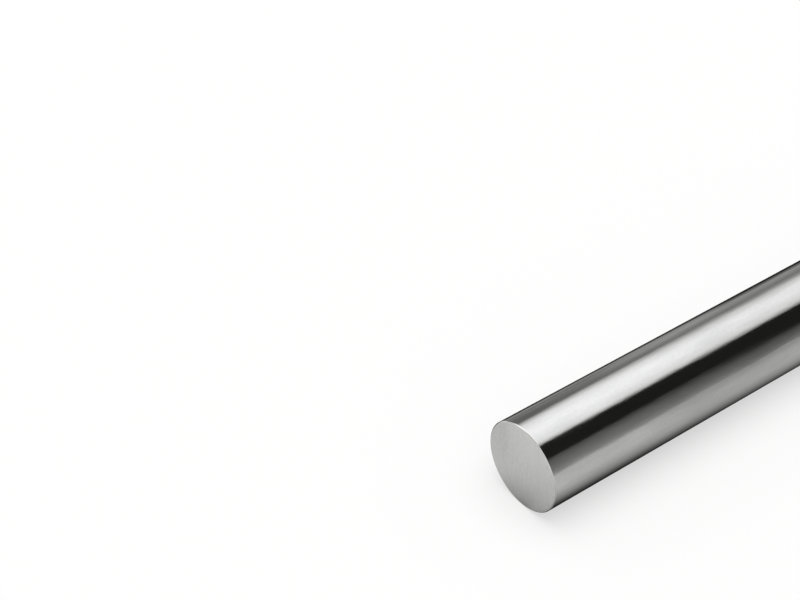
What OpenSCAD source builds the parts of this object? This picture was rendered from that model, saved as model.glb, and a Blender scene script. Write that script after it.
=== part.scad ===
// Round bar stock: one solid length of polished stainless steel, lying along X.
// Both ends are cut square, and a small chamfer breaks the edge of each.
// The origin is on the bar's axis, halfway along it. Lengths are in millimetres.

/* [Bar] */
// Diameter of the bar
bar_d = 50; // [10:1:100]
// Length that the bar is cut to
bar_l = 1000; // [100:10:6000]

/* [End chamfers] */
// Length of each end's chamfer along the bar's axis
chamfer_l = 0.5; // [0.1:0.1:2]
// Angle between the chamfer and the bar's axis
chamfer_angle = 45; // [30:5:60]

/* [Hidden] */

bar_r = bar_d / 2;
end_x = bar_l / 2;
// Radius of the flat face that the chamfer leaves on each end
face_r = bar_r - chamfer_l * tan(chamfer_angle);
steel = [0.49, 0.49, 0.48];
$fn = 128;

// Half of the lengthways section: the radius runs along X, and the axis along Y
module half_section() {
    polygon([
        [0, -end_x],
        [face_r, -end_x],
        [bar_r, -end_x + chamfer_l],
        [bar_r, end_x - chamfer_l],
        [face_r, end_x],
        [0, end_x],
    ]);
}

// The half section turned about the axis, then laid along X
module round_bar() {
    color(steel)
        rotate([0, 90, 0])
            rotate_extrude()
                half_section();
}

round_bar();
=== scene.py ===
"""A polished round bar of stainless steel, lying on a white studio floor.

The bar lies along X, with its axis through the origin. Lengths are in metres.
"""

import math

import bpy
import numpy as np
from mathutils import Euler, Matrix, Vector


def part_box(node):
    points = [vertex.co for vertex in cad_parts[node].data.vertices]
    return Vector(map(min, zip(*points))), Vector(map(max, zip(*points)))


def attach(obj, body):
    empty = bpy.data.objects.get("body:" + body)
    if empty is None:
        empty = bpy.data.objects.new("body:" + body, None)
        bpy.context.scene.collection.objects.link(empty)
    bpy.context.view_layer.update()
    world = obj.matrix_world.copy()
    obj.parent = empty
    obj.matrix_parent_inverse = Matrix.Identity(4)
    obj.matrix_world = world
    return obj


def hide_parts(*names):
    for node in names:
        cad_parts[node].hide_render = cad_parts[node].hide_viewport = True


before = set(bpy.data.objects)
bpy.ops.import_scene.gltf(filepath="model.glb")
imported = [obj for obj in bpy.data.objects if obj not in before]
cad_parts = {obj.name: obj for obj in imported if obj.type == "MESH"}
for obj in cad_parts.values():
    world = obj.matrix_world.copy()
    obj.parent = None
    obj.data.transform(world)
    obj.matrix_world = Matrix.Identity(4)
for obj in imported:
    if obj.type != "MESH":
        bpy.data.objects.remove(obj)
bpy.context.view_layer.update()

# The bar's sizes, from the frame
NODE = "round_bar"
TOUCH = 1e-6
bar_low, bar_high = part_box(NODE)
radius = bar_high.z
half_length = bar_high.x
end_points = [v.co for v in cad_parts[NODE].data.vertices if v.co.x < bar_low.x + TOUCH]
face_radius = max(math.hypot(p.y, p.z) for p in end_points)
edge_break = radius - face_radius
floor_height = bar_low.z

# The photograph's camera. Its place is counted in bar radii from the centre of the near end face.
CAMERA_TURN = math.radians(37.02)
CAMERA_TILT = math.radians(39.375)
CAMERA_FROM_END = Vector((-16.562, -17.967, 24.227))
LENS = 77.93
SENSOR = 36.0
CLIP_NEAR, CLIP_FAR = 0.01, 100.0


def make_camera():
    """The camera, level and tilted down at the bar's near end."""
    data = bpy.data.cameras.new("camera")
    data.lens = LENS
    data.sensor_fit = "HORIZONTAL"
    data.sensor_width = SENSOR
    data.clip_start = CLIP_NEAR
    data.clip_end = CLIP_FAR
    camera = bpy.data.objects.new("camera", data)
    camera.location = Vector((-half_length, 0, 0)) + CAMERA_FROM_END * radius
    camera.rotation_euler = Euler((math.pi / 2 - CAMERA_TILT, 0, -CAMERA_TURN))
    bpy.context.scene.collection.objects.link(camera)
    bpy.context.scene.camera = camera


# The bar's mesh: the points round each ring, and the steps between rings along the side and across a face
AROUND = 288
SIDE_STEP = 0.008
FACE_STEP = 0.001
# Both corners of each edge break are rounded, and a ring this close beyond each arc keeps the rest flat
CORNER_RADIUS = 0.0005
CORNER_STEPS = 6
HOLD = 0.00004
# The rim is drawn from this far inside the flat face's edge to this far behind the face, in edge breaks
RIM_INSIDE = 2
RIM_DEEP = 3
# The bands of the mesh, by the number of their material
SIDE, EDGE, FACE = 0, 1, 2
# The ground side dips by up to this much, in waves: (share, radians per metre along, lobes round, phase)
DIP = 0.000012
DIP_WAVES = (
    (0.45, 2 * math.pi / 0.173, 0, 1.1),
    (0.30, 2 * math.pi / 0.071, 2, 0.0),
    (0.25, 9.0, 3, 0.0),
)
# The edge break is a little wider here and narrower there: (share, lobes round, phase)
EDGE_WAVES = ((0.03, 2, 0.7), (0.015, 5, 2.1))


def rounded(points, corner_radius, steps):
    """The line through points, with an arc in place of each inner corner."""
    line = [points[0]]
    for before, corner, after in zip(points, points[1:], points[2:]):
        back = (before - corner).normalized()
        on = (after - corner).normalized()
        half_angle = back.angle(on) / 2
        cut = corner_radius / math.tan(half_angle)
        centre = corner + (back + on).normalized() * corner_radius / math.sin(half_angle)
        start = corner + back * cut - centre
        end = corner + on * cut - centre
        sweep = start.angle(end)
        line.append(corner + back * (cut + HOLD))
        for step in range(steps + 1):
            share = step / steps
            first = math.sin((1 - share) * sweep) / math.sin(sweep)
            second = math.sin(share * sweep) / math.sin(sweep)
            line.append(centre + start * first + end * second)
        line.append(corner + on * (cut + HOLD))
    line.append(points[-1])
    return line


def end_profile():
    """(depth behind the end face, radius) from just inside the flat face's rim to the start of the side."""
    inner = face_radius - RIM_INSIDE * edge_break
    deep = RIM_DEEP * edge_break
    corners = [Vector(p) for p in ((0, inner), (0, face_radius), (edge_break, radius), (deep, radius))]
    return rounded(corners, CORNER_RADIUS, CORNER_STEPS)


def rings():
    """Every ring from the near face to the far one, as (x, radius, zone of the band that follows)."""
    rim = end_profile()
    face_radii = np.linspace(0, rim[0].y, round(rim[0].y / FACE_STEP) + 1)[1:-1]
    near = [(-half_length, r, FACE) for r in face_radii]
    for depth, r in rim:
        on_face = depth < TOUCH and r < face_radius
        zone = FACE if on_face else SIDE if r > radius - TOUCH else EDGE
        near.append((depth - half_length, r, zone))
    side_start = near[-1][0]
    steps = round(-2 * side_start / SIDE_STEP)
    side = [(x, radius, SIDE) for x in np.linspace(side_start, -side_start, steps + 1)[1:-1]]
    # Towards the far face, the band that follows a ring is the one that comes before it at the near end
    zones_back = [zone for _, _, zone in near][-2::-1] + [FACE]
    far = [(-x, r, zone) for (x, r, _), zone in zip(near[::-1], zones_back)]
    return near + side + far


def place(x, r, around):
    """The points of one ring. The bar is a few micrometres out of true, as ground stock is."""
    waves = sum(part * np.sin(turn * x + lobes * around + phase) for part, turn, lobes, phase in DIP_WAVES)
    dip = DIP * (1 + waves) / 2 * min(1.0, r / radius)
    end = math.copysign(half_length, x)
    depth = abs(end - x)
    if depth < RIM_DEEP * edge_break and r > face_radius - RIM_INSIDE * edge_break:
        # Near the rim the profile grows or shrinks a little about the sharp corner
        wider = 1 + sum(part * np.sin(lobes * around + phase) for part, lobes, phase in EDGE_WAVES)
        depth = depth * wider
        r = radius - (radius - r) * wider
    r = r - dip
    x = end - math.copysign(1, end) * depth
    return np.stack([x + 0 * around, -r * np.cos(around), r * np.sin(around)], axis=1)


def make_bar():
    """The bar as one closed mesh, finely divided so that its reflections run smoothly."""
    around = np.linspace(0, 2 * math.pi, AROUND, endpoint=False)
    profile = rings()
    points = np.concatenate([place(x, r, around) for x, r, _ in profile])
    near_centre = len(points)
    far_centre = near_centre + 1
    points = np.concatenate([points, [(-half_length, 0, 0), (half_length, 0, 0)]])
    faces = []
    zones = []
    for ring, (_, _, zone) in enumerate(profile[:-1]):
        first = ring * AROUND
        for k in range(AROUND):
            after = (k + 1) % AROUND
            faces.append((first + k, first + after, first + AROUND + after, first + AROUND + k))
            zones.append(zone)
    last = (len(profile) - 1) * AROUND
    for k in range(AROUND):
        after = (k + 1) % AROUND
        faces.append((near_centre, after, k))
        faces.append((far_centre, last + k, last + after))
        zones += [FACE, FACE]
    mesh = bpy.data.meshes.new("bar")
    mesh.from_pydata(points.tolist(), [], faces)
    mesh.polygons.foreach_set("material_index", zones)
    mesh.polygons.foreach_set("use_smooth", [True] * len(faces))
    mesh.validate()
    mesh.update()
    bar = bpy.data.objects.new("bar", mesh)
    bpy.context.scene.collection.objects.link(bar)
    for material in (polished_steel(), edge_steel(), cut_steel()):
        mesh.materials.append(material)
    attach(bar, "root")
    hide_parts(NODE)


# Node materials
WHITE = (1, 1, 1, 1)
# A noise lies mostly between these two values
NOISE_LOW, NOISE_HIGH = 0.3, 0.7


def add_node(tree, kind, settings=None, **inputs):
    """A new node with its settings and its inputs, which are values or the sockets that feed them.

    An input goes by its name, with _ for each space, or by its number, as in _0.
    """
    made = tree.nodes.new(kind)
    for name, value in (settings or {}).items():
        setattr(made, name, value)
    for name, value in inputs.items():
        socket = made.inputs[int(name[1:])] if name[1:].isdigit() else made.inputs[name.replace("_", " ")]
        if isinstance(value, bpy.types.NodeSocket):
            tree.links.new(value, socket)
        else:
            socket.default_value = value
    return made


def new_material(name):
    """A material with an empty node tree."""
    material = bpy.data.materials.new(name)
    material.use_nodes = True
    material.node_tree.nodes.clear()
    return material


def finish_material(tree, surface):
    """Joins the surface shader to the material's output."""
    output = add_node(tree, "ShaderNodeOutputMaterial")
    tree.links.new(surface, output.inputs["Surface"])


def calculate(tree, operation, *values):
    """The result of one sum on numbers or sockets."""
    inputs = {"_%d" % k: value for k, value in enumerate(values)}
    return add_node(tree, "ShaderNodeMath", {"operation": operation}, **inputs).outputs["Value"]


def add_up(tree, first, second):
    """The sum of two values."""
    return calculate(tree, "ADD", first, second)


def multiply(tree, first, second):
    """The product of two values."""
    return calculate(tree, "MULTIPLY", first, second)


def distance(tree, first, second):
    """How far from zero a point is that lies this far each of two ways."""
    squares = [multiply(tree, value, value) for value in (first, second)]
    return calculate(tree, "SQRT", add_up(tree, *squares))


def between(tree, value, low, high, to_low=0.0, to_high=1.0, kind="LINEAR"):
    """A value that runs from to_low to to_high as the given one runs from low to high."""
    return add_node(
        tree,
        "ShaderNodeMapRange",
        {"interpolation_type": kind},
        Value=value,
        From_Min=low,
        From_Max=high,
        To_Min=to_low,
        To_Max=to_high,
    ).outputs["Result"]


def eased(tree, value, low, high, to_low=0.0, to_high=1.0):
    """The same as between, with a gentle start and stop."""
    return between(tree, value, low, high, to_low, to_high, kind="SMOOTHSTEP")


def mix(tree, share, first, second):
    """A value that runs from the first to the second as share runs from 0 to 1."""
    return add_node(tree, "ShaderNodeMix", _0=share, _2=first, _3=second).outputs[0]


def mix_colours(tree, share, first, second):
    """A colour that runs from the first to the second as share runs from 0 to 1."""
    return add_node(
        tree, "ShaderNodeMix", {"data_type": "RGBA"}, _0=share, _6=first, _7=second
    ).outputs[2]


def noise(tree, place_on, stretch, detail=2.0):
    """Noise whose features are 1 / stretch metres long each way."""
    scaled = add_node(tree, "ShaderNodeMapping", Vector=place_on, Scale=stretch)
    return add_node(
        tree, "ShaderNodeTexNoise", Vector=scaled.outputs["Vector"], Scale=1.0, Detail=detail
    ).outputs["Fac"]


def spread(tree, value, low, high):
    """A noise, with the middle part that holds most of it mapped on to low to high."""
    return between(tree, value, NOISE_LOW, NOISE_HIGH, low, high)


# Bare steel
STEEL_GREY = (0.49, 0.49, 0.477)
EDGE_GREY = (0.57, 0.57, 0.555)
# How far stretched highlights are turned from the direction round the bar, as a share of a full turn
SHINE_TURN = 0.25

# The ground side and the edge break: fine lines round the bar, longer marks along it and slow waves. The
# last two have their heights too, counted in the height of the fine lines.
ROUND_LINES = (1800, 40, 40)
ALONG_LINES, ALONG_HEIGHT = (6, 500, 500), 4.0
SLOW_WAVES, SLOW_HEIGHT = (50, 200, 200), 44.0
# The side's tones: streaks, clouds and grain, each with its share
SIDE_STREAKS, STREAK_SHARE = (40, 300, 300), 0.4
SIDE_CLOUDS, CLOUD_SHARE = (35, 90, 90), 0.4
SIDE_GRAIN, GRAIN_SHARE = (600, 600, 600), 0.2
EDGE_GRAIN = (400, 400, 400)
EDGE_TONES = (0.3, 0.7)

# The end faces: mottling and upright streaks, then fine grain and the arcs that a large cutting disc leaves
CUT_MOTTLING, MOTTLING_TONES = (650, 650, 650), (0.33, 0.67)
CUT_STREAKS, CUT_STREAK_TONES = (100, 600, 90), (-0.09, 0.09)
CUT_GRAIN = (2600, 2600, 2600)
CUT_SHINE = (500, 500, 500)
DISC_CENTRE = Vector((0, 0.11, -0.16))
DISC_ARCS, DISC_WOBBLE, DISC_HEIGHT = 220.0, 3.0, 0.25
# Painted light and shade across the end faces: (one place, another, tone at the first, tone at the other),
# with places in radii. The face is painted lighter on one side and towards the top.
CUT_PAINTED_SHADE_ACROSS = (-0.1, 0.5, 0.06, -0.12)
CUT_PAINTED_LIGHT_UP = (0.1, 0.9, 0.0, 0.30)
# A darker upright patch: how far across its middle is, how it comes in from its sides, and its lower end
CUT_PATCH = 0.6
CUT_PATCH_OUT = (0.25, 0.0, 0.0, -0.20)
CUT_PATCH_UP = (-0.3, 0.2)
# A painted shade along the rim, towards the bottom on one side: the change towards the rim, its direction,
# and how far that way
CUT_RIM_PAINTED_SHADE = (0.93, 0.98, 0.0, -0.5)
CUT_RIM_TOWARD = (-0.81, -0.59)
CUT_RIM_FROM = (0.6, 0.95)


def steel(name, grey, swing, roughness, tones, shine, height, bump_distance, anisotropic=0.0):
    """A bare steel material; tones and height are functions that say how those vary over the surface.

    Tones run from 0 to 1, and swing is how much darker and lighter than grey those are. Shine is the
    stretch of the noise that varies the roughness, and by how much it does.
    """
    material = new_material(name)
    tree = material.node_tree
    where = add_node(tree, "ShaderNodeTexCoord").outputs["Object"]
    darkest = (*[channel * (1 - swing) for channel in grey], 1)
    lightest = (*[channel * (1 + swing) for channel in grey], 1)
    shine_stretch, shine_change = shine
    rougher = spread(tree, noise(tree, where, shine_stretch), -shine_change, shine_change)
    bump = add_node(
        tree, "ShaderNodeBump", Strength=1.0, Distance=bump_distance, Height=height(tree, where)
    )
    shader = add_node(
        tree,
        "ShaderNodeBsdfPrincipled",
        Base_Color=mix_colours(tree, tones(tree, where), darkest, lightest),
        Metallic=1.0,
        Roughness=add_up(tree, rougher, roughness),
        Anisotropic=anisotropic,
        Anisotropic_Rotation=SHINE_TURN,
        Normal=bump.outputs["Normal"],
    )
    if anisotropic:
        tangent = add_node(tree, "ShaderNodeTangent", {"direction_type": "RADIAL", "axis": "X"})
        tree.links.new(tangent.outputs["Tangent"], shader.inputs["Tangent"])
    finish_material(tree, shader.outputs["BSDF"])
    return material


def grinding_lines(tree, where):
    """Fine lines round the bar, longer marks along it, and the slow waves that straightening leaves."""
    round_lines = noise(tree, where, ROUND_LINES)
    along_lines = noise(tree, where, ALONG_LINES)
    waves = noise(tree, where, SLOW_WAVES)
    marks = add_up(tree, round_lines, spread(tree, along_lines, 0.0, ALONG_HEIGHT))
    return add_up(tree, marks, spread(tree, waves, 0.0, SLOW_HEIGHT))


def polish_tones(tree, where):
    """Faint streaks and clouds along the bar, and a finer grain."""
    streaks = spread(tree, noise(tree, where, SIDE_STREAKS, detail=4.0), 0.0, STREAK_SHARE)
    clouds = spread(tree, noise(tree, where, SIDE_CLOUDS), 0.0, CLOUD_SHARE)
    grain = spread(tree, noise(tree, where, SIDE_GRAIN), 0.0, GRAIN_SHARE)
    return add_up(tree, add_up(tree, streaks, clouds), grain)


def polished_steel():
    """The ground and polished outside of the bar."""
    return steel(
        "polished_steel",
        STEEL_GREY,
        swing=0.09,
        roughness=0.11,
        tones=polish_tones,
        shine=(SIDE_STREAKS, 0.02),
        height=grinding_lines,
        bump_distance=0.0000006,
        anisotropic=0.5,
    )


def edge_tones(tree, where):
    """An even, fine grain."""
    return spread(tree, noise(tree, where, EDGE_GRAIN), *EDGE_TONES)


def edge_steel():
    """The narrow edge break, turned bright."""
    return steel(
        "edge_steel",
        EDGE_GREY,
        swing=0.05,
        roughness=0.16,
        tones=edge_tones,
        shine=(EDGE_GRAIN, 0.03),
        height=grinding_lines,
        bump_distance=0.0000005,
    )


def cut_tones(tree, where):
    """Fine mottling and upright streaks, a darker patch, and painted light and shade over the face and rim.
    """
    mottling = spread(tree, noise(tree, where, CUT_MOTTLING, detail=4.0), *MOTTLING_TONES)
    streaks = spread(tree, noise(tree, where, CUT_STREAKS, detail=3.0), *CUT_STREAK_TONES)
    _, y, z = add_node(tree, "ShaderNodeSeparateXYZ", Vector=where).outputs
    across = calculate(tree, "DIVIDE", y, radius)
    up = calculate(tree, "DIVIDE", z, radius)
    # Painted light and shade: the face lighter towards the top and on one side
    painted_light_tilt = add_up(tree, between(tree, across, *CUT_PAINTED_SHADE_ACROSS), between(tree, up, *CUT_PAINTED_LIGHT_UP))
    off_patch = calculate(tree, "ABSOLUTE", calculate(tree, "SUBTRACT", across, CUT_PATCH))
    patch = multiply(tree, eased(tree, off_patch, *CUT_PATCH_OUT), between(tree, up, *CUT_PATCH_UP))
    # A painted shade in the rim, towards the bottom on one side
    toward = [multiply(tree, part, share) for part, share in zip((across, up), CUT_RIM_TOWARD)]
    rim_shade_side = between(tree, add_up(tree, *toward), *CUT_RIM_FROM)
    rim = multiply(tree, between(tree, distance(tree, across, up), *CUT_RIM_PAINTED_SHADE), rim_shade_side)
    fine = add_up(tree, mottling, streaks)
    return add_up(tree, add_up(tree, fine, painted_light_tilt), add_up(tree, patch, rim))


def cut_marks(tree, where):
    """Fine grain, and the faint arcs that a large cutting disc leaves."""
    from_disc = add_node(tree, "ShaderNodeMapping", Vector=where, Location=-DISC_CENTRE)
    disc = add_node(
        tree,
        "ShaderNodeTexWave",
        {"wave_type": "RINGS", "rings_direction": "X"},
        Vector=from_disc.outputs["Vector"],
        Scale=DISC_ARCS,
        Distortion=DISC_WOBBLE,
        Detail=3.0,
    )
    grain = noise(tree, where, CUT_GRAIN, detail=3.0)
    return add_up(tree, grain, spread(tree, disc.outputs["Fac"], 0.0, DISC_HEIGHT))


def cut_steel():
    """The fine, matt cut of the end faces."""
    return steel(
        "cut_steel",
        STEEL_GREY,
        swing=0.15,
        roughness=0.42,
        tones=cut_tones,
        shine=(CUT_SHINE, 0.03),
        height=cut_marks,
        bump_distance=0.000008,
    )


# The floor's half width, its grey and the glow that makes it white to the eye, the even light, and the lamp
FLOOR_HALF = 40.0
FLOOR_GREY = (0.42, 0.42, 0.418)
FLOOR_LIFT = 0.58
FILL = 0.6
LAMP_BRIGHTNESS = 0.4
LAMP_SPREAD = math.radians(60)

# What the bar mirrors above the floor: (angle up from the camera's side of the floor, brightness). There is
# a low grey wall, a black flag, a soft box overhead and a grey wall behind, as they show by the near end.
TENT = (
    (0, 0.70),
    (6, 0.42),
    (14, 0.31),
    (24, 0.25),
    (31, 0.20),
    (37, 0.14),
    (42, 0.02),
    (73.8, 0.02),
    (79, 1.12),
    (85, 1.47),
    (98, 1.65),
    (112, 1.77),
    (124, 1.75),
    (134, 1.58),
    (140, 1.38),
    (147, 1.03),
    (156, 0.24),
    (165, 0.21),
    (173, 0.25),
    (180, 0.26),
)
# The same, as they show further along the bar
TENT_AWAY = (
    (0, 0.34),
    (6, 0.26),
    (14, 0.18),
    (24, 0.12),
    (34, 0.02),
    (42, 0.02),
    (70.5, 0.02),
    (79, 0.98),
    (85, 1.26),
    (98, 1.47),
    (112, 1.60),
    (122, 1.57),
    (134, 1.19),
    (140, 0.96),
    (146, 0.57),
    (156, 0.30),
    (164, 0.37),
    (174, 0.44),
    (180, 0.42),
)
# Past the near end the back wall is nearly white, and the soft box comes down to it
TENT_PAST_END = (
    (0, 0.80),
    (30, 0.40),
    (43, 0.10),
    (72, 0.10),
    (80, 1.14),
    (98, 1.65),
    (157, 1.75),
    (164, 0.90),
    (180, 0.85),
)
# Further still, where the tent ends, it is nearly white all over
TENT_END = (
    (0, 1.00),
    (20, 1.00),
    (45, 1.12),
    (75, 1.00),
    (100, 0.80),
    (140, 0.74),
    (180, 0.85),
)
# The middle of the wall that closes the tent at either end
TENT_WALL = (
    (0, 0.75),
    (25, 0.55),
    (45, 0.15),
    (70, 0.12),
    (85, 0.70),
    (125, 0.82),
    (150, 0.50),
    (180, 0.68),
)
# The tent's radius, its two ends along X, and the flats round it
TENT_RADIUS = 1.6
TENT_LOW, TENT_HIGH = -2.5, 4.0
TENT_STEPS = 90
# The tent reaches this many degrees below the level of the bar's axis on both sides
TENT_BELOW = 1
# The cards fan out from a point off the near end, and slope is the distance along from it over the distance
# out. The cards show by the near end at the first slope, and further along at the second.
FAN_POINT = (-0.92, -0.755)
SLOPES = (0.60, 0.76)
# Where along X the tones past the near end and those of the tent's end take over
PAST_END = (-0.8, -1.4)
AT_END = (-2.0, -2.2)
# How far from the axis the tones of the end walls' middle take over
WALL_MIDDLE = (0.9, 0.4)
# The soft box is a little cooler than the rest: its colour, and the brightness from which that shows
COOL = (1.0, 1.0, 1.03, 1)
COOL_FROM = (1.1, 1.5)
# Low on the back wall the tones change this many times sooner along the bar. It sets in over these angles.
BACK_QUICKER = 1.8
BACK_WALL = (150, 162)

# The mirrored floor, by the distance from the bar's axis in bar radii, as it shows by the near end: a
# painted shade at the bar's foot, and on the far side a dark strip, the painted reflection of a neighbouring
# bar.
FLOOR_TONES = (
    (-16.0, 0.56),
    (-7.0, 0.58),
    (-3.6, 0.61),
    (-2.5, 0.63),
    (-1.9, 0.64),
    (-1.5, 0.47),
    (-1.25, 0.28),
    (-1.0, 0.10),
    (-0.8, 0.02),
    (0.8, 0.03),
    (1.0, 0.25),
    (1.4, 0.40),
    (1.7, 0.30),
    (2.0, 0.01),
    (3.9, 0.02),
    (4.3, 0.14),
    (5.0, 0.38),
    (8.0, 0.35),
    (12.0, 0.25),
)
# The same, as it shows further along the bar
FLOOR_TONES_AWAY = (
    (-16.0, 0.50),
    (-7.0, 0.62),
    (-3.6, 0.72),
    (-2.3, 0.69),
    (-1.7, 0.64),
    (-1.35, 0.47),
    (-1.1, 0.29),
    (-0.9, 0.12),
    (-0.7, 0.03),
    (0.7, 0.03),
    (1.0, 0.25),
    (1.4, 0.40),
    (1.7, 0.30),
    (2.0, 0.01),
    (4.6, 0.01),
    (5.6, 0.08),
    (7.4, 0.17),
    (10.0, 0.19),
    (14.0, 0.26),
    (24.0, 0.37),
)
# Halfway along what shows, the far side of the floor and the foot of the back wall are lighter. This comes
# and goes between these shares of the way, and is this much on the floor, by the radii out, and on the wall,
# by the angle.
HALFWAY_RISE = (0.05, 0.5)
HALFWAY_FALL = (1.0, 0.78)
HALFWAY_FLOOR = (
    (4.8, 0.00),
    (7.2, 0.18),
    (12.0, 0.19),
    (24.0, 0.14),
    (48.0, 0.07),
)
HALFWAY_WALL = (164, 174, 0.0, 0.07)
# The near side of the floor is lighter by the near end: by how much, how far along, and how far out
NEAR_LIGHTER = 0.25
NEAR_LIGHTER_ALONG = (0.6, 0.0)
NEAR_LIGHTER_OUT = (-1.6, -3.0)
# Past the far end the mirrored floor turns white within this many radii
FAR_END_FADE = 8.0

# The floor before the near end, out to this many radii. It is white but for painted shade: at the bar's
# foot, and on a greyer near side. The shade at the foot goes by the distance from its centre, counted in its
# own depth and width.
END_CARD = 8.0
END_SHADE_DEEP, END_SHADE_WIDE = 0.8, 1.3
END_SHADE_CENTRE = -0.1
END_SHADE = (
    (0.0, 0.32),
    (0.2, 0.52),
    (0.5, 0.66),
    (0.8, 0.90),
    (1.1, 1.00),
)
# The painted shade on the near side, by the distance across in radii
END_NEAR_SIDE_SHADE = (
    (-8.0, 1.00),
    (-5.0, 0.80),
    (-1.7, 0.64),
    (-0.8, 0.80),
    (-0.3, 1.00),
)
# Two more darker patches there: (share of the tone left, where it sets in across, and where along). The far
# side's dark strip, a painted reflection of a neighbouring bar, runs on a little, and the near side's
# painted shade turns the corner.
END_PATCHES = (
    (0.15, (1.9, 2.25), (-1.2, -0.7)),
    (0.5, (-0.5, -0.85), (-0.7, -0.2)),
)
# The cards lie this far above the floor
CARD_LIFT = 0.0005


def link(obj):
    """Puts a studio object in the scene."""
    bpy.context.scene.collection.objects.link(obj)
    return obj


def show_only_in_mirrors(obj):
    """The bar mirrors this object, and nothing else meets it."""
    obj.visible_camera = False
    obj.visible_diffuse = False
    obj.visible_shadow = False


def seen_directly(tree):
    """1 where the eye, a mirror or glass looks, and 0 for the light on matt things."""
    path = add_node(tree, "ShaderNodeLightPath")
    eye_or_mirror = calculate(tree, "MAXIMUM", path.outputs["Is Camera Ray"], path.outputs["Is Glossy Ray"])
    return calculate(tree, "MAXIMUM", eye_or_mirror, path.outputs["Is Transmission Ray"])


def make_floor():
    """One pale floor, out to the horizon, which keeps the bar's shadow."""
    mesh = bpy.data.meshes.new("floor")
    corners = [(-1, -1), (1, -1), (1, 1), (-1, 1)]
    points = [(x * FLOOR_HALF, y * FLOOR_HALF, floor_height) for x, y in corners]
    mesh.from_pydata(points, [], [(0, 1, 2, 3)])
    material = new_material("floor")
    tree = material.node_tree
    matt = add_node(tree, "ShaderNodeBsdfDiffuse", Color=(*FLOOR_GREY, 1))
    lift = add_node(tree, "ShaderNodeEmission", Strength=multiply(tree, seen_directly(tree), FLOOR_LIFT))
    both = add_node(tree, "ShaderNodeAddShader", _0=matt.outputs["BSDF"], _1=lift.outputs["Emission"])
    finish_material(tree, both.outputs["Shader"])
    mesh.materials.append(material)
    link(bpy.data.objects.new("floor", mesh))


def tone_ramp(tree, value, stops):
    """Brightness that follows the stops, which are (value, brightness) pairs."""
    low, high = stops[0][0], stops[-1][0]
    peak = max(brightness for _, brightness in stops)
    ramp = add_node(tree, "ShaderNodeValToRGB", Fac=between(tree, value, low, high))
    marks = ramp.color_ramp.elements
    while len(marks) < len(stops):
        # Anywhere will do, as the next loop moves every mark to its place
        marks.new(0.5)
    for mark, (at, brightness) in zip(marks, stops):
        mark.position = (at - low) / (high - low)
        mark.color = (*[brightness / peak] * 3, 1)
    return multiply(tree, ramp.outputs["Color"], peak)


def how_far_along(tree, x, out):
    """0 on the part of the cards that shows by the near end, and 1 on the part that shows further along."""
    along = calculate(tree, "SUBTRACT", x, FAN_POINT[0])
    slope = calculate(tree, "DIVIDE", along, calculate(tree, "SUBTRACT", out, FAN_POINT[1]))
    return between(tree, slope, *SLOPES)


def sooner(tree, away, at_back):
    """The same change along the bar, done sooner where at_back is 1."""
    quicker = calculate(tree, "MINIMUM", multiply(tree, away, BACK_QUICKER), 1.0)
    return mix(tree, at_back, away, quicker)


def lighter_halfway(tree, tone, away, lighter):
    """The tone, made that much lighter halfway along what shows, and left as it is at both ends of it."""
    rise = eased(tree, away, *HALFWAY_RISE)
    halfway = multiply(tree, rise, eased(tree, away, *HALFWAY_FALL))
    return calculate(tree, "MULTIPLY_ADD", halfway, lighter, tone)


def tent_strength(tree, x, y, z):
    """The tent's brightness at its angle round the bar and its distance along it."""
    angle = calculate(tree, "DEGREES", calculate(tree, "ARCTAN2", z, multiply(tree, y, -1.0)))
    all_tones = (TENT, TENT_AWAY, TENT_PAST_END, TENT_END, TENT_WALL)
    by_end, further, past_end, at_end, on_wall = [tone_ramp(tree, angle, tones) for tones in all_tones]
    away = how_far_along(tree, x, TENT_RADIUS)
    tone = mix(tree, sooner(tree, away, between(tree, angle, *BACK_WALL)), by_end, further)
    tone = lighter_halfway(tree, tone, away, between(tree, angle, *HALFWAY_WALL))
    tone = mix(tree, eased(tree, x, *PAST_END), tone, past_end)
    tone = mix(tree, eased(tree, x, *AT_END), tone, at_end)
    return mix(tree, eased(tree, distance(tree, y, z), *WALL_MIDDLE), tone, on_wall)


def floor_strength(tree, x, y, _):
    """The mirrored floor along the bar, with painted shade and reflection, fading to white past the far end.
    """
    away = how_far_along(tree, x, calculate(tree, "ABSOLUTE", y))
    across = calculate(tree, "DIVIDE", y, radius)
    tone = mix(tree, away, tone_ramp(tree, across, FLOOR_TONES), tone_ramp(tree, across, FLOOR_TONES_AWAY))
    tone = lighter_halfway(tree, tone, away, tone_ramp(tree, across, HALFWAY_FLOOR))
    by_end = eased(tree, away, *NEAR_LIGHTER_ALONG)
    lighter = multiply(tree, by_end, eased(tree, across, *NEAR_LIGHTER_OUT))
    tone = calculate(tree, "MULTIPLY_ADD", lighter, NEAR_LIGHTER, tone)
    past_far_end = eased(tree, x, half_length, half_length + FAR_END_FADE * radius)
    return mix(tree, past_far_end, tone, 1.0)


def end_floor_strength(tree, x, y, _):
    """The mirrored floor before the near end, with its painted shade."""
    along = calculate(tree, "DIVIDE", add_up(tree, x, half_length), radius)
    across = calculate(tree, "DIVIDE", y, radius)
    deep = calculate(tree, "DIVIDE", along, END_SHADE_DEEP)
    wide = calculate(tree, "DIVIDE", calculate(tree, "SUBTRACT", across, END_SHADE_CENTRE), END_SHADE_WIDE)
    shade = tone_ramp(tree, distance(tree, deep, wide), END_SHADE)
    tone = multiply(tree, shade, tone_ramp(tree, across, END_NEAR_SIDE_SHADE))
    for left, sets_in_across, sets_in_along in END_PATCHES:
        on_patch = multiply(tree, eased(tree, across, *sets_in_across), eased(tree, along, *sets_in_along))
        tone = multiply(tree, tone, mix(tree, on_patch, 1.0, left))
    return tone


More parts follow.
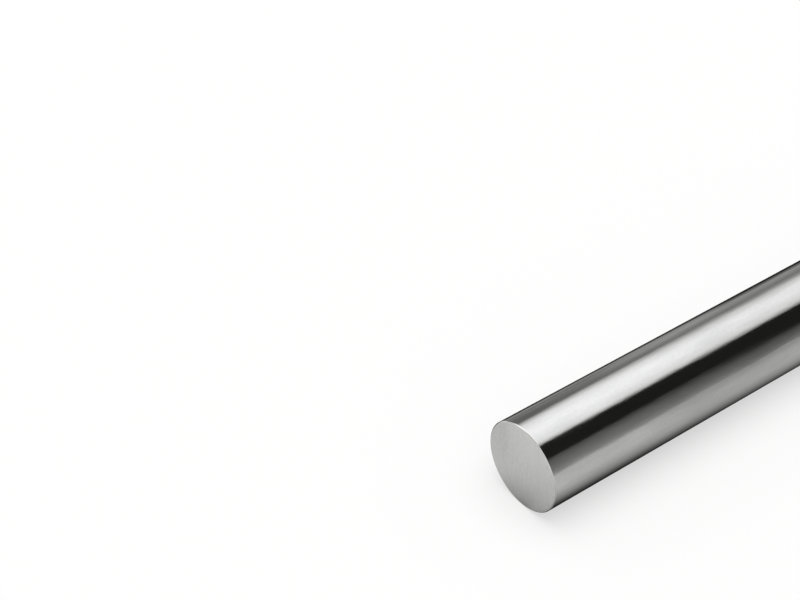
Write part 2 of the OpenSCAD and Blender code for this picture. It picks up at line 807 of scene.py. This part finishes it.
def make_glow(name, points, faces, strength):
    """A stage object that shines with a strength worked out from where it is, in mirrors only."""
    mesh = bpy.data.meshes.new(name)
    mesh.from_pydata(points, [], faces)
    material = new_material(name)
    tree = material.node_tree
    position = add_node(tree, "ShaderNodeNewGeometry").outputs["Position"]
    axes = add_node(tree, "ShaderNodeSeparateXYZ", Vector=position)
    brightness = strength(tree, *axes.outputs)
    colour = mix_colours(tree, between(tree, brightness, *COOL_FROM), WHITE, COOL)
    emission = add_node(tree, "ShaderNodeEmission", Color=colour, Strength=brightness)
    finish_material(tree, emission.outputs["Emission"])
    mesh.materials.append(material)
    show_only_in_mirrors(link(bpy.data.objects.new(name, mesh)))


def make_tent():
    """A half-round tent over the bar, closed at both ends, which only the bar sees."""
    points = []
    for step in range(TENT_STEPS + 1):
        angle = math.radians((180 + 2 * TENT_BELOW) * step / TENT_STEPS - TENT_BELOW)
        for x in (TENT_LOW, TENT_HIGH):
            points.append((x, -TENT_RADIUS * math.cos(angle), TENT_RADIUS * math.sin(angle)))
    faces = [(2 * k, 2 * k + 1, 2 * k + 3, 2 * k + 2) for k in range(TENT_STEPS)]
    for side, x in enumerate((TENT_LOW, TENT_HIGH)):
        points.append((x, 0, 0))
        faces += [(2 * k + side, 2 * k + 2 + side, len(points) - 1) for k in range(TENT_STEPS)]
    make_glow("tent", points, faces, tent_strength)


def make_floor_card(name, low, high, strength):
    """A card on the floor between two corners, which only the bar sees."""
    corners = [low, (high[0], low[1]), high, (low[0], high[1])]
    points = [(x, y, floor_height + CARD_LIFT) for x, y in corners]
    make_glow(name, points, [(0, 1, 2, 3)], strength)


def make_floor_cards():
    """The floor as the bar mirrors it: along the bar, and before its near end."""
    far_corner = (half_length + FAR_END_FADE * radius, TENT_RADIUS)
    make_floor_card("floor_card", (-half_length, -TENT_RADIUS), far_corner, floor_strength)
    reach = END_CARD * radius
    make_floor_card("end_card", (-half_length - reach, -reach), (-half_length, reach), end_floor_strength)


def make_lamp():
    """A very soft light from straight above, for the floor."""
    data = bpy.data.lights.new("overhead", "SUN")
    data.energy = LAMP_BRIGHTNESS * math.pi
    data.angle = LAMP_SPREAD
    lamp = bpy.data.objects.new("overhead", data)
    lamp.visible_glossy = False
    bpy.context.scene.collection.objects.link(lamp)


def make_world():
    """White for the eye, mirrors and glass, and an even soft fill on everything else."""
    world = bpy.data.worlds.new("world")
    world.use_nodes = True
    tree = world.node_tree
    tree.nodes.clear()
    strength = between(tree, seen_directly(tree), 0.0, 1.0, FILL, 1.0)
    background = add_node(tree, "ShaderNodeBackground", Color=WHITE, Strength=strength)
    output = add_node(tree, "ShaderNodeOutputWorld")
    tree.links.new(background.outputs["Background"], output.inputs["Surface"])
    bpy.context.scene.world = world


bpy.context.scene.view_settings.view_transform = "Standard"
make_camera()
make_bar()
make_floor()
make_tent()
make_floor_cards()
make_lamp()
make_world()
